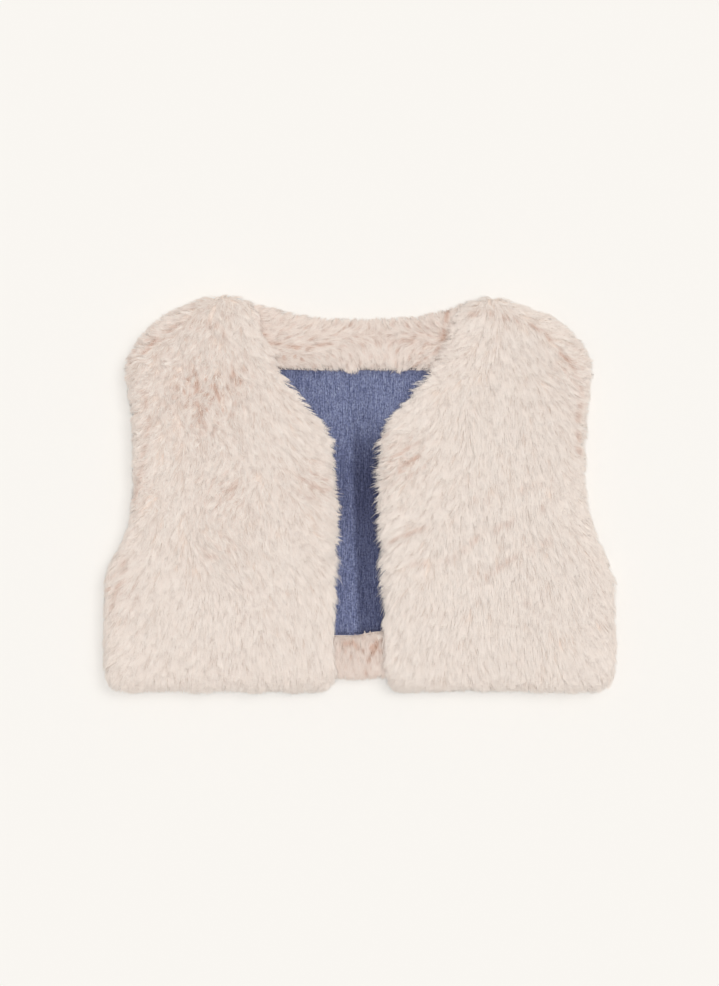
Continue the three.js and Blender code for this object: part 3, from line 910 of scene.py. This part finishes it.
# Strands are ribbons with a pointed tip, each following its guide and closing towards it
def make_strands(name, obj, rim, nap, keep, guides, strands, length, height, width, material,
                 seed, shares=GUARD_SHARES, clump=0.45, tone_middle=0.86, evenness=0.8,
                 grain=0.8, band=None, unrest=0.0, droop=DROOP, fringe=even_fringe):
    rng = np.random.default_rng(seed)
    places, ups, ruffled, lead, free, left = grow_guides(
        obj, rim, nap, keep, guides, length, band, unrest, droop, fringe, rng)
    lock_tone = rng.uniform(-1, 1, guides)[lead] * 0.4 + rng.uniform(-1, 1, guides) * 0.6
    grain = grain + (RUFFLED_GRAIN - grain) * ruffled
    lock_height = 1 + LOCK_HEIGHT * grain * rng.uniform(-1, 1, guides)[lead]
    clump = np.maximum(clump * np.minimum(grain, MOST_CLUMPING_GRAIN), FREE_CLUMP * free)[:, None]
    lock_bend = rng.normal(0, LOCK_BEND, guides)[lead] * (0.5 + 0.5 * grain + 0.5 * ruffled)
    lock_bend = lock_bend + rng.normal(0, GUIDE_BEND, guides)
    calm = np.maximum(free, smooth_step(*CALM_LENGTHS, left))
    lock_bend = lock_bend * calm

    # Every strand belongs to one guide
    owner = rng.integers(0, guides, strands)
    reach = rng.uniform(*REACHES, strands) + FLYAWAY_REACH * (rng.random(strands) < FLYAWAYS)
    stations = shares[None, :] * reach[:, None]
    middle = along_guide(places[owner], stations)
    up = unit(along_guide(ups[owner], stations))
    before = along_guide(places[owner], stations - STATION_STEP)
    after = along_guide(places[owner], stations + STATION_STEP)
    forward = unit(after - before)
    side = unit(np.cross(forward, up))
    angle = rng.uniform(0, 2 * np.pi, strands)
    radius = SPREAD * np.sqrt(rng.random(strands))
    closing = 1 - clump[owner] * calm[owner][:, None] * shares[None, :] ** CLUMP_CURVE
    offset_along = (radius * np.sin(angle))[:, None] * closing
    offset_side = (radius * np.cos(angle))[:, None] * closing
    bend = lock_bend[owner] + rng.normal(0, STRAND_BEND, strands)
    bend = bend[:, None] * shares[None, :] ** 2
    wave = rng.normal(0, STRAND_WAVE, strands)[:, None] * np.sin(np.pi * shares)[None, :]
    rise = height * lock_height[owner] * rng.uniform(evenness, TALLEST, strands)
    lift = rise[:, None] * (1 - (1 - shares[None, :]) ** RISE_CURVE) - ROOT_DEPTH
    lift = lift * (SIDE_LIFT + (1 - SIDE_LIFT) * smooth_step(0, 0.7, up[..., 2]))
    spine = (middle + forward * offset_along[..., None]
             + side * (offset_side + bend + wave)[..., None])
    crease = crease_depth(spine[..., :2].reshape(-1, 2)).reshape(lift.shape)
    spine = spine + up * (lift * (1 - CREASE_DIP * crease))[..., None]
    spine[..., 2] = np.maximum(spine[..., 2], FLOOR_CLEARANCE)

    # Each ribbon lies along the body, rolled a little
    sky = up + SKYWARD * np.sqrt((1 + up[..., 2:]).clip(0, 2) / 2) * np.array([0, 0, 1])
    sky = unit(sky)
    run = unit(np.gradient(spine, axis=1))
    roll = rng.normal(0, ROLL, strands)[:, None, None]
    flat = unit(np.cross(run, sky))
    face = unit(np.cross(flat, run))
    flat = unit(flat * np.cos(roll) + face * np.sin(roll))
    taper = np.append(np.linspace(*TAPER, len(shares) - 1), 0)
    half = 0.5 * width * rng.uniform(*WIDTHS, strands)[:, None] * taper[None, :]
    shade = unit((1 - FACE_SHARE) * sky + FACE_SHARE * face)

    lock_tone = LOCK_TONE * np.minimum(grain, 1) * lock_tone - RUFFLED_TONE * ruffled
    tone = tone_middle + lock_tone[owner] + grain[owner] * rng.normal(0, STRAND_TONE, strands)
    # Painted shade in creases and pits, with the roots' deeper tone
    tone = tone[:, None] - CREASE_PAINTED_SHADE * crease
    tone = np.clip(tone, MAP_WIDTH, 1 - MAP_WIDTH)
    mesh = ribbon_mesh(name, spine, flat, half, shade, tone, shares, material)
    return new_object(name, mesh)


# The pile is shorter in the band along the shoulder and armhole
BAND_LENGTH = 0.5
BAND_X = (60 * MM, 75 * MM)


def shoulder_band(roots, rim):
    near = [rim.find((x, y, 0)) for x, y, _ in roots]
    away = np.array([found[2] for found in near])
    is_high = smooth_step(UNDERARM_Y, SHOULDER_Y, roots[:, 1])
    is_outer = smooth_step(*BAND_X, np.abs(roots[:, 0]))
    close = smooth_step(BAND_FAR, BAND_NEAR, away) * (is_high * is_outer)
    return 1 - (1 - BAND_LENGTH) * close


# Past the opening's edges the pile hangs freely. Elsewhere it ends evenly, further out by the
# shoulders.
FREE_EDGE_X = 18 * MM
FREE_BAND = (14 * MM, 4 * MM)
FREE_FADE = 8 * MM
SHOULDER_FRINGE = 1.1
SHOULDER_FRINGE_X = (125 * MM, 145 * MM)
SHOULDER_FRINGE_Y = (60 * MM, 90 * MM)


def front_fringe(tips):
    x, y = np.abs(tips[:, 0]), tips[:, 1]
    edge = FREE_EDGE_X + NECKLINE_SLOPE * np.maximum(y - NECKLINE_Y, 0)
    free = smooth_step(*FREE_BAND, x - edge)
    free = free * smooth_step(OPENING_Y[0] - FREE_FADE, OPENING_Y[0], y)
    free = free * smooth_step(OPENING_Y[1] + FREE_FADE, OPENING_Y[1], y)
    shoulder = smooth_step(*SHOULDER_FRINGE_Y, y) * smooth_step(*SHOULDER_FRINGE_X, x)
    return EVEN_FRINGE * (1 + SHOULDER_FRINGE * shoulder) + (FREE_FRINGE - EVEN_FRINGE) * free


# Along the neck facing's inner edge it is short, but for two tufts that hang over the lining
NECK_INNER_Y = 90 * MM
NECK_LOW_BAND = 8 * MM
NECK_BAND = (20 * MM, 6 * MM)
NECK_LOW_FRINGE = 0.3 * EVEN_FRINGE
NECK_HIGH_FRINGE = 0.8 * EVEN_FRINGE
NECK_SHORTENING = 0.6
TUFT_LENGTHENING = 0.15
TUFTS = on_plan([(352, 369), (397, 369)])[:, 0]
TUFT_HALF = 4 * MM


def tuft_level(points):
    return np.exp(-(((points[:, :1] - TUFTS) / TUFT_HALF) ** 2)).max(1)


def neck_fringe(tips):
    low = tips[:, 1] < NECK_INNER_Y + NECK_LOW_BAND
    return np.where(low, NECK_LOW_FRINGE + FREE_FRINGE * tuft_level(tips), NECK_HIGH_FRINGE)


def neck_band(roots, rim):
    low = smooth_step(NECK_INNER_Y + NECK_BAND[0], NECK_INNER_Y + NECK_BAND[1], roots[:, 1])
    tuft = tuft_level(roots)
    return 1 - NECK_SHORTENING * low * (1 - tuft) + TUFT_LENGTHENING * low * tuft


# Which faces carry strands: a weight for each from its middle and normal. It is greater along the
# opening's edges and on the back's sides, and small where the fronts hide a facing.
FRONT_LOWEST_NORMAL = -0.15
FACING_LOWEST_NORMAL = 0.02
BACK_SIDE_NORMALS = (-0.85, 0.35)
OPENING_WEIGHT = 0.8
NECK_SEEN_X = 84 * MM
NECK_HIDDEN_WEIGHT = 0.15
HEM_SEEN_X = 34 * MM
HEM_HIDDEN_WEIGHT = 0.12
BACK_SIDE_WEIGHT = 3.0
UNDERSIDE_WEIGHT = 0.6


def on_front(middle, normal):
    opening = smooth_step(EVEN_FRINGE, FREE_FRINGE, front_fringe(middle))
    return (normal[:, 2] > FRONT_LOWEST_NORMAL) * (1 + OPENING_WEIGHT * opening)


def on_neck_facing(middle, normal):
    weight = np.where(np.abs(middle[:, 0]) < NECK_SEEN_X, 1.0, NECK_HIDDEN_WEIGHT)
    return (normal[:, 2] > FACING_LOWEST_NORMAL) * weight


def on_hem_facing(middle, normal):
    weight = np.where(np.abs(middle[:, 0]) < HEM_SEEN_X, 1.0, HEM_HIDDEN_WEIGHT)
    return (normal[:, 2] > FACING_LOWEST_NORMAL) * weight


def on_back(middle, normal):
    side = normal[:, 2] > BACK_SIDE_NORMALS[0]
    weight = np.where(side, BACK_SIDE_WEIGHT, UNDERSIDE_WEIGHT)
    return (normal[:, 2] < BACK_SIDE_NORMALS[1]) * weight


strands_look = strand_material()
underfur_look = underfur_material()
denim_look = denim_material()

front_left, front_left_rim = fur_body(
    "front_left_cloth", "front_left", front_level, underfur_look, front_inset)
front_right, front_right_rim = fur_body(
    "front_right_cloth", "front_right", front_level, underfur_look, front_inset)
back, back_rim = fur_body("back_cloth", "back", back_level, underfur_look, back_inset)
neck_facing, neck_facing_rim = fur_body(
    "neck_facing_cloth", "back_neck_facing", facing_level, underfur_look, facing_inset)
hem_facing, hem_facing_rim = fur_body(
    "hem_facing_cloth", "back_hem_facing", facing_level, underfur_look, facing_inset)

QUICK = 1.0


def fur(name, obj, rim, nap, keep, guides, strands, **rest):
    return make_strands(name, obj, rim, nap, keep, int(guides * QUICK), int(strands * QUICK),
                        material=strands_look, **rest)


guard = {"length": 21 * MM, "height": 4.3 * MM, "width": 0.29 * MM, "band": shoulder_band,
         "fringe": front_fringe}
under = {"length": 15 * MM, "height": 3.8 * MM, "width": 0.52 * MM, "shares": UNDER_SHARES,
         "clump": 0.1, "tone_middle": 0.83, "evenness": 0.75, "unrest": math.radians(15),
         "fringe": front_fringe}
left_nap = front_nap(1, STROKES_OF_LEFT_FRONT)
right_nap = front_nap(-1, STROKES_OF_RIGHT_FRONT)
neck_nap = facing_nap(STROKES_OF_NECK_FACING)
hem_nap = facing_nap(STROKES_OF_HEM_FACING)
furs = {
    "left": [
        fur("front_left_fur", front_left, front_left_rim, left_nap, on_front, 7000, 36000,
            seed=11, grain=0.12, evenness=0.94, **guard),
        fur("front_left_underfur", front_left, front_left_rim, left_nap, on_front, 5000, 38000,
            seed=12, grain=0.12, **under),
    ],
    "right": [
        fur("front_right_fur", front_right, front_right_rim, right_nap, on_front, 7000, 36000,
            seed=13, grain=0.6, tone_middle=0.83, **guard),
        fur("front_right_underfur", front_right, front_right_rim, right_nap, on_front, 5000,
            38000, seed=14, grain=0.6, **under),
    ],
    "back": [
        fur("back_fur", back, back_rim, back_nap, on_back, 5000, 38000, seed=15,
            length=18 * MM, height=3.2 * MM, width=0.42 * MM, grain=1.3, evenness=0.6,
            unrest=math.radians(20), droop=BACK_DROOP),
    ],
    "neck": [
        fur("neck_facing_fur", neck_facing, neck_facing_rim, neck_nap, on_neck_facing, 2600,
            15000, seed=16, length=18 * MM, height=4 * MM, width=0.34 * MM,
            tone_middle=0.72, band=neck_band, fringe=neck_fringe),
    ],
    # The hem facing's strands are darker: painted shade of its slot between the fronts, and a
    # browner tone of its own
    "hem": [
        fur("hem_facing_fur", hem_facing, hem_facing_rim, hem_nap, on_hem_facing, 1800, 9000,
            seed=17, length=13 * MM, height=4 * MM, width=0.34 * MM, tone_middle=0.62,
            unrest=math.radians(14)),
    ],
}


# Lining

def lining_rise(x, y):
    across = (x - FOLD_X - FOLD_LEAN * (y - FOLD_TOP[1])) / FOLD_HALF
    steepness = FOLD_LEFT_STEEPNESS if across > 0 else FOLD_RIGHT_STEEPNESS
    shape = math.exp(-across * across * steepness)
    ripple = RIPPLE_HEIGHT * math.sin(x / RIPPLE_X + RIPPLE_SWAY * math.sin(y / RIPPLE_Y))
    return FOLD_HEIGHT * float(smooth_step(*FOLD_TOP, y)) * shape + ripple


def make_lining():
    bm, _ = joined_mesh("back_lining")
    bmesh.ops.subdivide_edges(bm, edges=bm.edges, cuts=2, use_grid_fill=True)
    for v in bm.verts:
        if v.co.z > LINING_TOP - LINING_TOP_BAND and v.normal.z > LINING_TOP_NORMAL:
            v.co.z += lining_rise(v.co.x, v.co.y)
        if v.co.y < LINING_LOW_Y:
            v.co.y -= lining_drop(v.co.x)
    mesh = bpy.data.meshes.new("lining_cloth")
    bm.to_mesh(mesh)
    bm.free()
    mesh.shade_smooth()
    mesh.set_sharp_from_angle(angle=math.radians(40))
    mesh.materials.append(denim_look)
    return new_object("lining_cloth", mesh)


lining = make_lining()

# Overlock stitches along the lining's two edges by the facings
STITCH_PITCH = 1.35 * MM
STITCH_HALF = (0.32 * MM, 1.15 * MM, 0.28 * MM)
STITCH_LEAN = 0.5
STITCH_LEAN_SPREAD = 0.25
STITCH_SPREAD = (0.15, 0.2)
STITCH_LIFT = 0.1 * MM
TOP_EDGE = [(276, 368.6), (300, 369.0), (360, 369.0), (432, 368.6)]
LOW_EDGE = [(338, 633.5), (350, 634.0), (362, 632.5), (384, 629.0)]


def thread_material():
    material, tree, shader = node_material("edge_thread", 0.8, sheen=0.1, specular=0.2)
    twist = noise_node(tree, scaled_place(tree, (1500, 1500, 1500)), 1.0)
    colour = ramp_node(tree, twist, [(0.3, (0.018, 0.02, 0.05)), (0.7, (0.06, 0.065, 0.13))])
    tree.links.new(colour, shader.inputs["Base Color"])
    bump_node(tree, twist, 0.3, 0.1 * MM, shader)
    return material


def make_stitches():
    rng = np.random.default_rng(SEED + 5)
    bm = bmesh.new()
    for edge, lean in ((TOP_EDGE, STITCH_LEAN), (LOW_EDGE, -STITCH_LEAN)):
        line = on_plan(edge)
        for a, b in zip(line[:-1], line[1:]):
            length = np.linalg.norm(b - a)
            for k in range(int(length / STITCH_PITCH)):
                x, y = a + (b - a) * (k + 0.5) * STITCH_PITCH / length
                x += rng.normal(0, STITCH_SPREAD[0]) * MM
                y += rng.normal(0, STITCH_SPREAD[1]) * MM
                z = LINING_TOP + lining_rise(x, y) + STITCH_LIFT
                turn = Matrix.Rotation(lean + rng.normal(0, STITCH_LEAN_SPREAD), 4, "Z")
                size = Matrix.Diagonal((*STITCH_HALF, 1))
                bmesh.ops.create_icosphere(
                    bm, subdivisions=1, radius=1,
                    matrix=Matrix.Translation((x, y, z)) @ turn @ size)
    mesh = bpy.data.meshes.new("lining_stitches")
    bm.to_mesh(mesh)
    bm.free()
    mesh.shade_smooth()
    mesh.materials.append(thread_material())
    return new_object("lining_stitches", mesh)


stitches = make_stitches()


# The stage: floor, light and camera

def add_lamp(name, strength, softness, elevation, azimuth):
    sun = bpy.data.lights.new(name, "SUN")
    sun.energy = strength
    sun.angle = softness
    lamp = new_object(name, sun)
    away = Vector((
        math.cos(elevation) * math.cos(azimuth),
        math.cos(elevation) * math.sin(azimuth),
        math.sin(elevation),
    ))
    lamp.rotation_euler = away.to_track_quat("Z", "Y").to_euler()


def make_stage():
    bm = bmesh.new()
    bmesh.ops.create_grid(bm, x_segments=1, y_segments=1, size=FLOOR_HALF)
    mesh = bpy.data.meshes.new("floor")
    bm.to_mesh(mesh)
    bm.free()
    floor = new_object("floor", mesh)
    floor.location.z = -FLOOR_DEPTH
    material, _, shader = node_material("floor", 0.9, specular=0.0)
    shader.inputs["Base Color"].default_value = (*FLOOR_COLOUR, 1)
    mesh.materials.append(material)

    world = bpy.data.worlds.new("surround")
    world.use_nodes = True
    background = world.node_tree.nodes["Background"]
    background.inputs["Color"].default_value = (1, 1, 1, 1)
    background.inputs["Strength"].default_value = SURROUND
    bpy.context.scene.world = world

    add_lamp("overhead", OVERHEAD_STRENGTH, OVERHEAD_SOFTNESS, math.pi / 2, 0)
    add_lamp("lamp", LAMP_STRENGTH, LAMP_SOFTNESS, LAMP_ELEVATION, LAMP_AZIMUTH)


def make_camera():
    data = bpy.data.cameras.new("camera")
    data.lens = LENS
    data.sensor_width = SENSOR
    data.sensor_fit = "AUTO"
    data.clip_end = 20
    camera = new_object("camera", data)
    distance = LENS / SENSOR * PHOTO_H * METRES_PER_PIXEL
    camera.location = (
        (PHOTO_W / 2 - PHOTO_MIDDLE_X) * METRES_PER_PIXEL,
        (PHOTO_MIDDLE_Y - PHOTO_H / 2) * METRES_PER_PIXEL,
        MEASURED_LEVEL + distance,
    )
    bpy.context.scene.camera = camera


make_stage()
make_camera()
bpy.context.scene.view_settings.view_transform = "Standard"
bpy.context.scene.view_settings.look = "None"

# Every piece hangs from the root body, and the CAD parts are hidden

bodies = [front_left, front_right, back, neck_facing, hem_facing]
strand_objects = [obj for group in furs.values() for obj in group]
for obj in bodies + [lining] + strand_objects + [stitches]:
    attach(obj, "root")

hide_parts("front_left")
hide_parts("front_right")
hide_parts("back")
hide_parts("back_neck_facing")
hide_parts("back_hem_facing")
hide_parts("back_lining")
